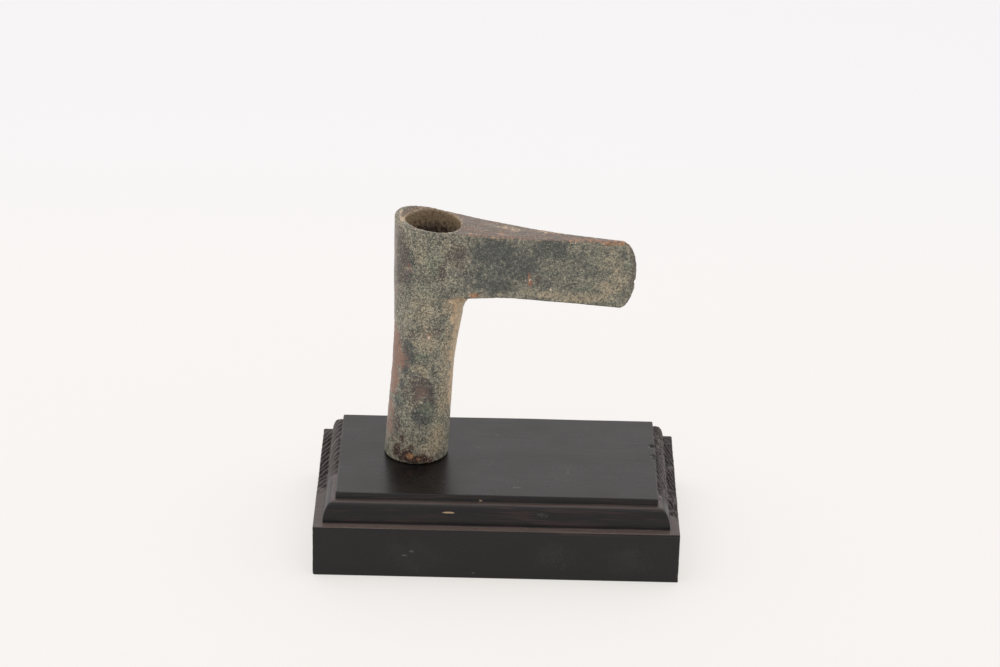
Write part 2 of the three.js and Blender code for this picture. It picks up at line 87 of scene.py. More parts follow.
# Each stain: place (mm from the head's origin), half-widths (mm), strength.
STAINS = {
    "slate": (
        ((50, -9.5, 108), (16, 7, 9), 0.95),
        ((62, -8.5, 100), (16, 6, 10), 0.9),
        ((76, -6.5, 108), (15, 5, 7), 0.85),
        ((45, -10, 96), (14, 6, 7), 0.7),
        ((88, -5, 103), (9, 4, 5), 0.65),
        ((93, -4, 97), (9, 4, 6), 0.5),
        ((28, -13, 89), (9, 5, 5), 0.5),
        ((12.3, -13, 106), (3.5, 4, 5), 0.85),
        ((11, -13, 96), (3.5, 4, 6), 0.7),
        ((9, -12, 104), (3, 4, 4), 0.6),
        ((10, -13, 88), (3, 4, 7), 0.6),
        ((11.5, -13, 60), (2.8, 4, 5), 0.95),
        ((13, -13.5, 55), (2, 4, 4), 0.9),
        ((9.5, -12, 48), (1.8, 4, 5), 0.9),
        ((8, -11.5, 41), (1.6, 4, 4), 0.8),
        ((17, -14, 57), (3.5, 4, 3.5), 0.7),
        ((22, -14, 40), (3, 4, 8), 0.6),
        ((17.6, -14.5, 25), (5.6, 4, 7), 1.0),
        ((24, -14, 31), (4, 4, 6), 0.6),
        ((15, -14.5, 14), (5, 4, 5), 0.35),
        ((50, -9, 91), (14, 5, 5), 0.95),
        ((72, -6, 93), (14, 5, 6), 0.5),
        ((92, -4, 96), (26, 6, 14), 0.42),
        ((7.0, -10.8, 32), (3.2, 5, 4.6), 1.0),
        ((64, -1, 114.2), (5, 2.6, 2), 0.6),
        ((57, 9, 103), (26, 7, 11), 0.7),
        ((85, 5, 100), (14, 5, 9), 0.6),
        ((20, 14, 98), (7, 5, 12), 0.7),
        ((8, 11, 75), (5, 5, 9), 0.6),
        ((14, 14, 60), (8, 6, 14), 0.6),
        ((24, 13, 20), (6, 5, 10), 0.6),
    ),
    "violet": (
        ((7.6, -9.6, 104), (4.6, 7, 16), 0.9),
        ((9, -11, 110), (3, 5, 5), 0.9),
        ((7, -10, 115), (5, 5, 5), 0.8),
        ((9.2, -11.8, 56), (3.2, 4, 6.5), 1.0),
        ((8, -11, 90), (4, 5, 5), 0.5),
        ((12, -12.5, 66), (3, 4, 3), 0.6),
        ((17, -14.5, 40), (5.5, 4, 7), 1.0),
        ((21, -14, 35), (3.5, 4, 6), 0.95),
        ((10, -12, 36), (3, 5, 5), 0.6),
        ((14, -14, 32), (3, 4, 4), 0.7),
        ((5, -10, 20), (4, 6, 9), 0.8),
        ((2, -5, 8), (2.4, 5, 8), 0.4),
        ((24, -14, 69), (4, 4, 2.5), 0.7),
        ((33, -12.5, 107), (7, 5, 7), 0.8),
        ((25.2, -13.7, 100), (4.5, 5, 6), 0.85),
        ((18, -14.5, 98), (3.5, 5, 4), 0.5),
        ((57, -8.5, 88), (5, 4, 3), 0.4),
        ((70.2, -6.1, 93), (1.3, 2, 3.4), 1.0),
        ((70, 7, 98), (20, 6, 8), 0.5),
        ((12, 13, 112), (6, 5, 7), 0.6),
        ((30, 12, 88), (8, 5, 6), 0.5),
        ((20, 14, 30), (8, 6, 16), 0.6),
        ((10, 12, 18), (4, 5, 8), 0.7),
    ),
    "tan": (
        # The first four and the last two tan stains, down the tube's right side under the blade,
        # are tan soil partly painted as light, lighter as if lit from the right.
        ((33.5, -7, 82), (5, 8, 7), 1.0),
        ((33.5, -5, 72), (3.6, 8, 12), 1.0),
        ((32.2, -4, 56), (2.7, 8, 14), 1.0),
        ((31, -4, 38), (2.0, 8, 14), 0.8),
        ((7.4, -1.5, 121), (1.4, 8, 3), 1.0),
        ((56, 3, 115), (12, 3, 2), 0.5),
        ((76, 4, 113), (12, 2.4, 2), 0.5),
        ((34, 7, 80), (5, 8, 10), 1.0),
        ((32, 6, 48), (4, 9, 22), 0.9),
    ),
    "earth": (
        ((29, -11, 80), (5, 5, 5), 0.7),
        ((29, -9, 60), (4, 6, 16), 0.65),
        ((28, -10, 34), (4, 7, 16), 0.7),
        ((26, -12, 12), (6, 5, 9), 0.9),
        ((22, -13, 8), (6, 5, 5), 0.75),
        ((2.5, -6, 8), (3, 6, 7), 0.25),
        ((17, -14.5, 80), (9, 4, 10), 0.5),
        ((19, -14.5, 64), (7, 4, 9), 0.55),
        ((17, -14.5, 49), (5, 4, 4), 0.6),
        ((16, -14.5, 108), (5, 4, 8), 0.5),
        ((28, -13.5, 113), (12, 4, 4), 0.4),
        ((75.2, -5.4, 85), (7, 4, 2), 0.8),
        ((52, -9, 86.6), (8, 4, 1.6), 0.35),
        ((66, -7.5, 87), (5, 4, 1.8), 0.5),
        ((94, -4, 83), (18, 4, 3), 0.75),
        ((104, -3, 88), (8, 4, 4), 0.75),
        ((101, -3, 102), (6, 4, 8), 0.5),
        ((108, -2, 92), (7, 3, 11), 0.5),
        ((10, 13, 95), (9, 5, 14), 0.5),
    ),
    "verdigris": (
        ((22, -14, 104), (5, 4, 9), 0.7),
        ((57, -8.5, 90), (5, 4, 3), 0.35),
        ((97, -2.5, 103), (5, 3, 6), 0.6),
        ((112.5, -1, 99), (2, 3, 4), 0.8),
        ((7.6, -11.2, 32.6), (2.6, 4, 3.4), 0.6),
        ((17, -14.5, 56), (4, 3, 3), 0.7),
        ((20, -14, 29), (4, 3, 4), 0.7),
        ((10, -12.5, 23), (3, 4, 4), 0.7),
        ((26, -11, 22), (4, 5, 4), 0.5),
        ((1.5, -4.5, 3), (3, 6, 3), 0.7),
        ((19, -14, 90), (6, 4, 6), 0.5),
        ((80, -6, 97), (10, 4, 5), 0.4),
        ((94, -4, 87), (8, 4, 4), 0.5),
        ((40, 10, 92), (12, 6, 6), 0.5),
        ((26, 13, 60), (5, 4, 8), 0.6),
        ((100, 3, 92), (8, 4, 6), 0.5),
    ),
    "film": (
        # The film stains near the socket's left edge, from 1 to 5.5 mm in, are painted sheen: the
        # lighter band of grazing light down that edge.
        ((3.2, -3, 106), (2.4, 7, 15), 1.0),
        ((3.2, -3, 84), (2.2, 6, 12), 0.9),
        ((5.5, -6, 116), (3, 5, 4), 0.5),
        ((38, 6, 117), (9, 4, 2), 0.8),
        ((1.0, -2, 14), (1.4, 5, 9), 0.4),
    ),
    "cuprite": (
        ((4, -4, 62), (4.2, 8, 8), 1.0),
        ((5.5, -8, 54.5), (6.6, 8, 7), 1.0),
        ((3.5, -5, 45), (5.2, 8, 11), 1.0),
        ((2.5, -4, 37), (3.6, 8, 6), 1.0),
        ((2.2, -4, 25), (3.0, 6, 6), 0.9),
        ((2.8, -6, 17), (2.6, 6, 7), 0.7),
        ((11, -12.6, 100.3), (1.7, 3, 2.6), 0.6),
        ((5, -7.5, 86), (1.0, 4, 4), 0.5),
        ((20.6, -14.3, 66), (1.5, 3, 1.8), 0.7),
        ((17, -14.5, 37), (3, 3, 4.5), 0.5),
        ((19.5, -14.5, 63.5), (3, 3, 2), 0.3),
        ((18, 14.5, 72), (3, 4, 5), 0.6),
        ((48, -10, 108), (1, 3, 7), 0.2),
        ((66.3, -6.6, 93.6), (0.9, 2, 3.2), 0.95),
        ((67.2, -6.5, 91.6), (1.2, 2, 1.9), 0.95),
        ((4, 10, 50), (4, 6, 18), 0.7),
    ),
    "rust": (
        ((4.6, -10, 11), (2.4, 4, 3.5), 0.6),
        ((6.2, -11.8, 6.5), (3.6, 5, 4.5), 0.85),
        ((10.5, -13.5, 4.5), (4.5, 4, 4.2), 0.95),
        ((16.5, -15, 2.6), (6, 4, 3.2), 1.0),
        ((20.5, -14.5, 1.6), (4, 4, 2.4), 1.0),
        ((8.4, -12.6, 12), (1.6, 4, 4), 0.7),
        ((12.5, -14, 9), (2.2, 4, 3.4), 0.7),
        ((14, 15, 3), (7, 4, 3), 0.8),
        ((24, 13, 2), (4, 4, 2), 0.8),
    ),
    "copper": (
        ((41.6, -10.5, 86.4), (3.2, 3, 1.5), 1.0),
        ((38.2, -11, 86.8), (2, 3, 1), 0.5),
        # These five, along the blade's top front edge, are bare metal and partly a painted
        # highlight on that arris.
        ((54.6, -4.5, 114.9), (6.0, 2.6, 1.6), 0.6),
        ((41, -9.5, 116.7), (8, 2.2, 1.6), 0.6),
        ((72, -3, 113.4), (9, 2.4, 1.6), 0.5),
        ((92, -1.5, 111.7), (15, 3, 1.8), 0.6),
        ((106, -1, 110.3), (8, 4, 2.0), 0.7),
        ((13, -14.8, 4.6), (2.8, 2, 1.7), 0.9),
        ((16.8, -14.8, 3.0), (2.0, 2, 1.2), 0.7),
        ((32, -8, 77), (1.4, 4, 4), 0.5),
        ((66.1, -6.7, 95.2), (0.5, 2, 2.6), 0.75),
        ((66.5, -6.6, 91.6), (0.9, 2, 1.6), 0.7),
    ),
    "pale": (
        ((20.6, -14.3, 65.9), (0.7, 2, 0.7), 1.0),
        ((24.3, -13.5, 69.2), (0.7, 2, 0.6), 0.9),
        ((76.4, -5.2, 88), (0.7, 2, 1.1), 0.9),
        ((68.6, -6.3, 86.8), (0.6, 2, 0.9), 0.7),
        ((102.9, -2, 87.7), (1.5, 2, 0.6), 0.7),
        ((66.8, -6.6, 92.9), (0.5, 2, 0.8), 0.9),
        ((22, -14.5, 107), (1.3, 2, 0.7), 0.6),
        ((40, -10.5, 101), (0.9, 2, 0.6), 0.5),
        ((46, -9.8, 97), (1.0, 2, 0.7), 0.5),
        ((58, -8, 98), (0.9, 2, 0.7), 0.5),
        ((86, -4.2, 110.8), (1.6, 2, 0.6), 0.6),
    ),
}

# Where a stain has faded out and where it is whole, in half-widths from its middle, how ragged its
# edge is and the kinds whose edge has a raggedness of their own.
STAIN_FADE = (1.5, 0.35)
STAIN_WANDER = 0.45
OWN_WANDER = {"slate": 0.28}

# The head's landmarks, in mm from its origin.
BORE_FOOT_X = 15.2
BORE_MOUTH_X = 21.4
MOUTH_HEIGHT = 119.5
BORE_REACH = 13.7
TOP_LOW = 104.0
BLADE_START = 33.0

# Each of these pairs says where something starts to show and where it shows in full.

# The dark band at the cutting edge: how far along the blade, and at what half thickness, mm.
CUTTING_START = (88.0, 98.0)
CUTTING_HALF = (1.0, 0.62)

# An arris: how far it stands out from the points around it, mm.
ARRIS_RISE = (0.025, 0.07)

# The upward share of a surface's direction on a top face, a rising arris and a falling one, and its
# share towards the bore's axis inside the socket.
FACES_UP = (0.45, 0.85)
RISING = (0.1, 0.5)
FALLING = (0.05, -0.25)
FACES_BORE = (0.3, 0.7)

# The rim of the mouth: how far outside the bore its back and its inner edge reach, mm, and how far
# below the mouth the painted shade inside the bore begins and is whole.
BACK_RIM = (1.6, 0.6)
INNER_RIM = (2.0, 0.8)
PAINTED_BORE_SHADE = (-1.0, -13.0)

# The front and the left side of the head, the part of the top face that belongs to the mouth and
# the part of the blade that is flat, mm.
FRONT_Y = (2.0, -2.0)
LEFT_X = (18.0, 8.0)
LIP_X = (BLADE_START + 4, BLADE_START - 4)
FLAT_BLADE_X = (BLADE_START, BLADE_START + 10)

# The worn inner edge of the mouth, mm: how far from the bore's axis, along, across and up it
# reaches, and how deep it goes.
FLARE_REACH = (15.4, 13.0)
FLARE_PLACE = ((22.0, 11.0), (-5.0, 3.0), (112.5, 118.5))
FLARE_DEPTH = 1.2

# How high above its lowest point the foot is drawn down across the standing gap, mm.
FOOT_BLEND = (6.0, 0.0)

# The noise that breaks up the bare metal and the one that makes the pits.
BROKEN = (-0.5, 0.4)
PITTED = (0.25, 0.6)

# A nick, a notch or a chip, in radii from its middle.
LOSS_FADE = (1.0, 0.2)

# How much each stain quietens the speckle, the bore and the blade's flat the same, and how much the
# pits deepen in each, from a plain depth.
CALM = {
    "slate": 0.45, "cuprite": 0.8, "violet": 0.4, "dust": 0.4, "tan": 0.7, "film": 0.8, "rust": 0.5,
}
CALM_BORE = 0.55
CALM_BLADE = 0.25
PLAIN_PITS = 0.5
DEEPER_PITS = {"earth": 0.4, "rust": 0.9, "calm": -0.4}

# Small losses of metal: place (mm from the head's origin), radius, depth.
NICKS = (
    ((114.9, -0.2, 90.6), 1.5, 0.6),
    ((114.6, -0.2, 107.2), 1.1, 0.3),
    ((116.4, -0.2, 97.5), 0.9, 0.25),
    ((43.6, -10.4, 115.4), 1.6, 0.6),
    ((46.8, -10, 115.2), 1.2, 0.5),
    ((66.9, -6.9, 93.2), 1.0, 0.35),
    ((66.7, -6.9, 91.0), 0.8, 0.35),
    ((10.5, -13.4, 1.0), 1.6, 0.5),
    ((15, -15, 0.5), 1.4, 0.4),
    ((24, -13.8, 0.6), 1.3, 0.4),
    ((6, -11.4, 3.2), 1.3, 0.35),
    ((24.6, -13.9, 69.6), 1.2, 0.3),
    ((20.4, -14.7, 67.2), 1.4, 0.3),
    ((3.5, -5, 121), 1.6, 0.3),
)

# Marks on the black wood: place (mm), half-widths (mm), strength.
MARKS = {
    "bare": (
        ((-22.2, -44.4, 31.5), (2.9, 1.2, 0.4), 1.0),
        ((-7.4, -39.8, 35.7), (0.7, 0.8, 0.35), 0.7),
    ),
    "scuffed": (
        ((-42, -50, 11.2), (1.6, 1.0, 0.5), 0.7),
        ((-38.8, -50, 13.4), (1.4, 1.0, 0.5), 0.7),
        ((-10.1, -50, 2.9), (1.0, 1.0, 0.5), 0.6),
        ((21, -44.5, 31.2), (3.5, 1.6, 1.6), 0.35),
        ((64, -50, 13.9), (2.0, 1.0, 0.8), 0.3),
        ((-9.4, 8.7, 38.3), (0.9, 1.6, 1), 0.5),
        ((-0.5, 21.5, 38.3), (1.2, 1.2, 1), 0.4),
        ((9.2, -31, 38.3), (3, 0.7, 1), 0.5),
        ((33, -14, 38.3), (1.2, 6, 1), 0.3),
        ((28, -20, 38.3), (1.2, 5, 1), 0.3),
    ),
    "cloudy": (
        ((27.5, -50, 13), (7.5, 3, 6), 0.9),
        ((-36, -50, 10), (16, 3, 9), 0.3),
        ((62, -50, 12), (12, 3, 7), 0.4),
        ((31, -17, 38.3), (8, 9, 2), 0.6),
        ((-8, 12, 38.3), (10, 14, 2), 0.5),
        ((55, 8, 38.3), (14, 10, 2), 0.35),
    ),
}

# The plinth's landmarks, in mm: the height of the ledge, the foot and the end of the slab, and how
# far the moulding reaches beyond that end.
LEDGE_Z = 25.2
SLAB_FOOT = 34.9
SLAB_END = 74.8
MOULDING_WIDTH = 5.8

# A side taller than this, metres, gets rows of faces twice as high. An arris bends by more than
# this, radians.
TALL = 0.01
ARRIS_ANGLE = 0.5

# Torn end grain, at the left and at the right end: how its ridges slant on the moulding and on the
# ledge, how far they wander, mm, and where along the end it begins and is whole, mm.
MOULDING_SLANT = (0.9, 3.0)
LEDGE_SLANT = (2.0, 3.2)
RIDGE_WANDER = (1.5, 2.2)
TEAR_BEGINS = (-20.0, -38.0)
TEAR_WHOLE = (-8.0, -26.0)
TEAR_WANDER = 6.0

# Its ridges: their spacing, mm, and as shares of it where a gouge sinks in, where it rises again,
# and the place and the half-width of the painted highlight along each crest. Then each set of them:
# how many to a spacing, and how deep.
TEAR_PITCH = 4.8
GOUGE_SINKS = (0.0, 0.22)
GOUGE_RISES = (1.0, 0.3)
CREST_PLACE = 0.9
CREST_HALF = 0.13
RIDGE_SETS = ((1.0, 1.0), (2.3, 0.25))

# Where the torn part starts above the ledge and beyond the slab, mm, and which of its faces it
# takes: the less of their direction is along Y, the more. Then the noise of its patches and of its
# pits.
ABOVE_LEDGE = (-1.0, -0.2)
PAST_SLAB = (-0.2, 0.6)
FACES_SIDE = (0.5, 0.2)
TEAR_PATCHES = (-0.6, 0.1)
TEAR_PITS = (0.1, 0.45)

# Where the wood's finish changes, mm: above the block, beyond the slab's end, between the ledge and
# the slab, and on faces that look up; how much less worn the flats are at the ends and in the
# quirk; and how much rougher than the top the moulding and the block are.
ABOVE_BLOCK = (LEDGE_Z - 1.2, LEDGE_Z - 0.6)
AT_END = (SLAB_END + 4.6, SLAB_END + 6.0)
IN_QUIRK = (30.0, 32.0)
LEVEL = (0.8, 0.97)
UNDER_TOP = SLAB_FOOT + 0.4
LESS_AT_END = 0.4
LESS_IN_QUIRK = 0.25
ROUGH_MOULDED = 0.6
ROUGH_BLOCK = 0.5

# Notches in the plinth's edges: place (mm), radius, depth.
NOTCHES = (
    ((74.0, 13.5, 38.2), 1.9, 1.7),
    ((74.6, 3.5, 38), 1.7, 1.5),
    ((74.8, 0.2, 37.6), 1.5, 1.2),
    ((74.8, 21, 37.4), 1.3, 0.8),
    ((74.9, -11, 37.8), 1.1, 0.7),
    ((74.9, -29, 37.8), 1.0, 0.6),
    ((-74.8, 20.5, 37.2), 1.5, 1.1),
    ((-74.8, 11.8, 37.4), 1.2, 0.8),
    ((-74.8, -0.5, 37.0), 1.7, 1.2),
    ((-74.8, -9, 36.8), 1.2, 0.9),
    ((-74.8, -24, 37.2), 0.9, 0.6),
    ((-85, -50, 22.4), 1.1, 0.4),
    ((-85, -50, 15.1), 0.9, 0.3),
    ((-85, -50, 8.6), 1.0, 0.35),
    ((85, -50, 11.2), 1.0, 0.35),
    ((85, -50, 3.1), 1.6, 0.6),
    ((-85, -50, 0.9), 1.4, 0.5),
    ((82.4, -50, 19.7), 1.4, 0.4),
    ((-74.6, -39.7, 38.2), 1.1, 0.5),
    ((-21.9, -44.4, 31.4), 1.6, 0.35),
)

# Unevenness of the wood in metres: broad, and in lines, which the stretch draws out along it. It
# fades out between these heights at the foot, mm.
PLANING = 0.12 * MM
WOOD_LINES = 0.012 * MM
ALONG_WOOD = (0.1, 1, 1)
FOOT_EVEN = (0.5, 3.0)

# The stage in metres: half the floor's width, where its far shade starts and is whole, and the
# place and size of the lamp. The tent's opening is in the directions whose Y lies below this span.
FLOOR_HALF = 6.0
FAR_FLOOR = (0.1, 0.6)
LAMP_PLACE = (-0.15, 0.1, 1.1)
LAMP_SIZE = (1.4, 1.0)
OPENING_SPAN = (-0.65, 0.1)

# The camera's place in metres, and its pitch down, yaw to the right and roll in degrees.
CAMERA_PLACE = (-0.005683, -1.425051, 0.788923)
CAMERA_TURN = (25.714, 0.217, -1.382)
SENSOR_WIDTH = 36.0
CLIP = (0.01, 50.0)


def smooth_step(values, low, high):
    """0 at the first bound, 1 at the second and eased between them."""
    share = np.clip((values - low) / (high - low), 0.0, 1.0)
    return share * share * (3.0 - 2.0 * share)


def clouds(points, kind):
    """Fractal noise of one of the kinds at each point, about -1 to 1."""
    size, octaves, seed = NOISE[kind]
    shift = Vector((seed * 7.31, seed * 3.17, seed * 5.71))
    return np.array(
        [noise.fractal(Vector(p) / size + shift, 1.0, 2.0, octaves) for p in points]
    )


def merged_copy(node):
    """A bmesh of a CAD node with its loose triangles joined."""
    bm = bmesh.new()
    bm.from_mesh(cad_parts[node].data)
    bmesh.ops.remove_doubles(bm, verts=bm.verts, dist=MERGE)
    return bm


def voxel_copy(bm, cell):
    """The same closed shape as an even net of small quads."""
    mesh = bpy.data.meshes.new("rough_cast")
    bm.to_mesh(mesh)
    form = bpy.data.objects.new("rough_cast", mesh)
    bpy.context.collection.objects.link(form)
    remesh = form.modifiers.new("even_net", "REMESH")
    remesh.mode = "VOXEL"
    remesh.voxel_size = cell
    evaluated = form.evaluated_get(bpy.context.evaluated_depsgraph_get())
    net = bmesh.new()
    net.from_mesh(evaluated.to_mesh())
    evaluated.to_mesh_clear()
    bpy.data.objects.remove(form)
    bpy.data.meshes.remove(mesh)
    return net


def places(bm):
    return np.array([v.co for v in bm.verts])


def normals(bm):
    bm.normal_update()
    return np.array([v.normal for v in bm.verts])


def put(bm, points):
    for vertex, point in zip(bm.verts, points):
        vertex.co = point


def eased(bm, verts, factor):
    """Draws the given points towards their neighbours, twice."""
    for _ in range(2):
        bmesh.ops.smooth_vert(
            bm, verts=verts, factor=factor, use_axis_x=True, use_axis_y=True, use_axis_z=True
        )


def finished_piece(name, bm, masks, material, node):
    """Links the mesh as a smooth piece that rides on the one body and stands for its CAD node."""
    mesh = bpy.data.meshes.new(name)
    bm.to_mesh(mesh)
    bm.free()
    mesh.shade_smooth()
    for mask, values in masks.items():
        layer = mesh.attributes.new(mask, "FLOAT", "POINT")
        layer.data.foreach_set("value", values.astype(np.float32))
    mesh.materials.append(material)
    piece = bpy.data.objects.new(name, mesh)
    bpy.context.collection.objects.link(piece)
    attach(piece, "root")
    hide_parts(node)


class Finish:
    """A node material on object coordinates, put together step by step."""

    def __init__(self, name, ground):
        self.tone = ground
        self.material = bpy.data.materials.new(name)
        self.material.use_nodes = True
        self.tree = self.material.node_tree
        self.tree.nodes.clear()
        output = self.tree.nodes.new("ShaderNodeOutputMaterial")
        self.shader = self.tree.nodes.new("ShaderNodeBsdfPrincipled")
        self.tree.links.new(self.shader.outputs["BSDF"], output.inputs["Surface"])
        self.place = self.tree.nodes.new("ShaderNodeTexCoord").outputs["Object"]

    def wire(self, socket, value):
        if isinstance(value, bpy.types.NodeSocket):
            self.tree.links.new(value, socket)
        else:
            socket.default_value = value

    def node(self, kind, sockets, **settings):
        made = self.tree.nodes.new(kind)
        for name, value in settings.items():
            setattr(made, name, value)
        for name, value in sockets.items():
            self.wire(made.inputs[name], value)
        return made

    def set(self, name, value):
        self.wire(self.shader.inputs[name], value)

    def grain(self, size, detail, roughness, stretch=(1, 1, 1), shift=(0, 0, 0), wander=0.0):
        """Noise with lumps of the given size in mm, 0 to 1."""
        sockets = {"Vector": self.place, "Scale": stretch, "Location": shift}
        sockets = {
            "Vector": self.node("ShaderNodeMapping", sockets).outputs["Vector"],
            "Scale": 1.0 / (size * MM),
            "Detail": detail,
            "Roughness": roughness,
            "Distortion": wander,
        }
        return self.node("ShaderNodeTexNoise", sockets).outputs["Fac"]

    def mask(self, name):
        return self.node("ShaderNodeAttribute", {}, attribute_name=name).outputs["Fac"]

    def sum(self, first, second, scale):
        """first + second * scale."""
        sockets = {0: second, 1: scale, 2: first}
        return self.node("ShaderNodeMath", sockets, operation="MULTIPLY_ADD").outputs[0]

    def times(self, first, second):
        sockets = {0: first, 1: second}
        return self.node("ShaderNodeMath", sockets, operation="MULTIPLY").outputs[0]

    def step(self, value, low, high, start=0.0, end=1.0):
        sockets = {
            "Value": value,
            "From Min": low,
            "From Max": high,
            "To Min": start,
            "To Max": end,
        }
        made = self.node("ShaderNodeMapRange", sockets, interpolation_type="SMOOTHSTEP")
        return made.outputs["Result"]

    def within(self, mask, share):
        return self.times(self.mask(mask), share)

    def coat(self, share, colour, mode="MIX"):
        """Lays a colour over the tone reached so far."""
        sockets = {0: share, 6: rgba(self.tone), 7: rgba(colour)}
        mixed = self.node("ShaderNodeMix", sockets, data_type="RGBA", blend_type=mode)
        self.tone = mixed.outputs[2]

    def bump(self, height, distance, strength):
        sockets = {"Height": height, "Distance": distance, "Strength": strength}
        return self.node("ShaderNodeBump", sockets).outputs["Normal"]


def rgba(colour):
    if isinstance(colour, bpy.types.NodeSocket):
        return colour
    return (*tuple(colour)[:3], 1.0)


def screen(red, green, blue):
    """A linear colour from the 0-255 values a screen would show."""
    shares = (red / 255, green / 255, blue / 255)
    return tuple(
        s / 12.92 if s <= 0.04045 else ((s + 0.055) / 1.055) ** 2.4 for s in shares
    )


def length(name, description, default, largest):
    return FloatProperty(
        name=name, description=description, default=default, min=0.0, max=largest,
        unit="LENGTH", precision=5,
    )


def colour(name, description, *shades):
    return FloatVectorProperty(
        name=name, description=description, default=screen(*shades), min=0.0, max=1.0,
        size=3, subtype="COLOR",
    )


class BronzeSettings(bpy.types.PropertyGroup):
    cell: length("Surface Cell", "Size of the faces of the cast surface", 0.6 * MM, 0.003)
    swell: length("Swell", "Height of the broad unevenness", 0.16 * MM, 0.001)
    grit: length("Grit", "Height of the fine corrosion", 0.06 * MM, 0.0005)
    pit_depth: length("Pit Depth", "Depth of the corrosion pits", 0.2 * MM, 0.001)
    loss: length("Lost Crust", "How far the red oxide lies below the crust", 0.3 * MM, 0.001)
    patina: colour("Patina", "Grey-green that covers most of the metal", 132, 130, 114)
    slate: colour("Slate", "Dark blue-grey patches", 62, 68, 66)
    violet: colour("Violet Brown", "Dark brown with a violet cast", 77, 67, 63)
    # Tan also paints light: the lit right side of the tube under the blade, and the highlights on
    # the mouth's lip.
    tan: colour("Tan", "Smooth tan soil in the throat and on the lip", 184, 163, 132)
    earth: colour("Earth", "Grainy tan soil on the surface", 160, 147, 122)
    verdigris: colour("Verdigris", "Green of the copper salts", 112, 121, 102)
    # This colour is grey-violet film and also the painted sheen, the lighter band of grazing light
    # down the socket's left edge.
    film: colour("Film", "Grey-violet film along the back of the socket", 132, 121, 113)
    cuprite: colour("Cuprite", "Red-brown oxide", 134, 99, 83)
    rust: colour("Rust", "Dark red-brown crust at the foot", 53, 27, 20)
    # Copper also paints the highlight along the blade's top front edge, besides the bare worn
    # metal.
    copper: colour("Copper", "Warm bare metal along the edges", 157, 114, 80)
    pale: colour("Pale Salts", "Light specks of mineral", 206, 192, 172)
    dust: colour("Dust", "Grey-violet film on the top face", 91, 80, 69)
    soil: colour("Soil", "Brown soil inside the socket", 148, 129, 102)
    dark_speck: colour("Dark Specks", "Bottoms of the corrosion pits", 44, 42, 37)
    light_speck: colour("Light Specks", "Grains of tan mineral", 184, 176, 152)


class PlinthSettings(bpy.types.PropertyGroup):
    cuts: IntProperty(name="Cuts", description="Cuts along each side of the plinth", default=160)
    row: length("Row", "Height of the rows of faces up the sides", 0.55 * MM, 0.01)
    tear_depth: length("Tear Depth", "Depth of the torn end grain", 0.9 * MM, 0.003)
    stain: colour("Stain", "Black stain", 15, 13, 13)
    warm_stain: colour("Warm Stain", "Black stain with a brown cast", 20, 14, 13)
    brown: colour("Thin Stain", "Brown where the stain is thin", 58, 42, 39)
    worn: colour("Worn Stain", "Light brown where the stain is rubbed off", 95, 83, 77)
    raw: colour("Raw Wood", "Bare wood in the chips", 176, 150, 118)
    scuff: colour("Scuffs", "Grey of rubbed and dusty places", 92, 90, 90)


class StageSettings(bpy.types.PropertyGroup):
    floor: colour("Floor", "Pale lit floor", 144, 144, 145)
    far_floor: colour("Far Floor", "Floor behind the object", 141, 145, 153)
    glow: colour("Glow", "Light that comes up through the floor", 206, 203, 198)
    sky: colour("Surroundings", "White walls of the light tent", 255, 249, 250)
    opening: colour("Opening", "Dimmer side of the tent, towards the viewer", 212, 207, 208)
    sky_strength: FloatProperty(
        name="Surroundings Strength", description="Brightness of the light tent",
        default=1.13, min=0.0,
    )
    overhead: FloatProperty(
        name="Overhead Light", description="Power of the soft light above",
        default=3.0, min=0.0, unit="POWER",
    )
    focal: FloatProperty(
        name="Focal Length", description="Camera lens", default=122.4, unit="CAMERA",
    )


def stain_shares(table, points, origin, wander):
    """How strongly each kind of stain in a table shows at each point, 0 to 1."""
    shares = {}
    for kind, stains in table.items():
        total = np.zeros(len(points))
        ragged = wander * OWN_WANDER.get(kind, STAIN_WANDER)
        for place, reach, strength in stains:
            centre = np.array(origin) + np.array(place) * MM
            away = np.linalg.norm((points - centre) / (np.array(reach) * MM), axis=1)
            share = smooth_step(away + ragged, *STAIN_FADE)
            total = np.maximum(total, share * strength)
        shares[kind] = total
    return shares


def dented(points, losses, origin):
    """How deep each small loss goes at each point."""
    depths = np.zeros(len(points))
    for place, radius, depth in losses:
        centre = np.array(origin) + np.array(place) * MM
        away = np.linalg.norm(points - centre, axis=1) / (radius * MM)
        depths = np.maximum(depths, smooth_step(away, *LOSS_FADE) * depth * MM)
    return depths


def arris_shares(bm, points, outward):
    """1 on the convex edges of an even net, 0 on its open faces."""
    ends = np.array([[v.index for v in e.verts] for e in bm.edges])
    around = np.zeros_like(points)
    count = np.zeros(len(points))
    for near, far in ((0, 1), (1, 0)):
        np.add.at(around, ends[:, near], points[ends[:, far]])
        np.add.at(count, ends[:, near], 1)
    stands_out = np.einsum("ij,ij->i", points - around / count[:, None], outward)
    return smooth_step(stands_out, ARRIS_RISE[0] * MM, ARRIS_RISE[1] * MM)


def off_bore(points):
    """Each point's own place in mm from the head's origin, and its offset from the bore's axis."""
    own = (points - np.array(HEAD_ORIGIN)) / MM
    bore_x = BORE_FOOT_X + (BORE_MOUTH_X - BORE_FOOT_X) * own[:, 2] / MOUTH_HEIGHT
    return own, np.stack((own[:, 0] - bore_x, own[:, 1]), axis=1)


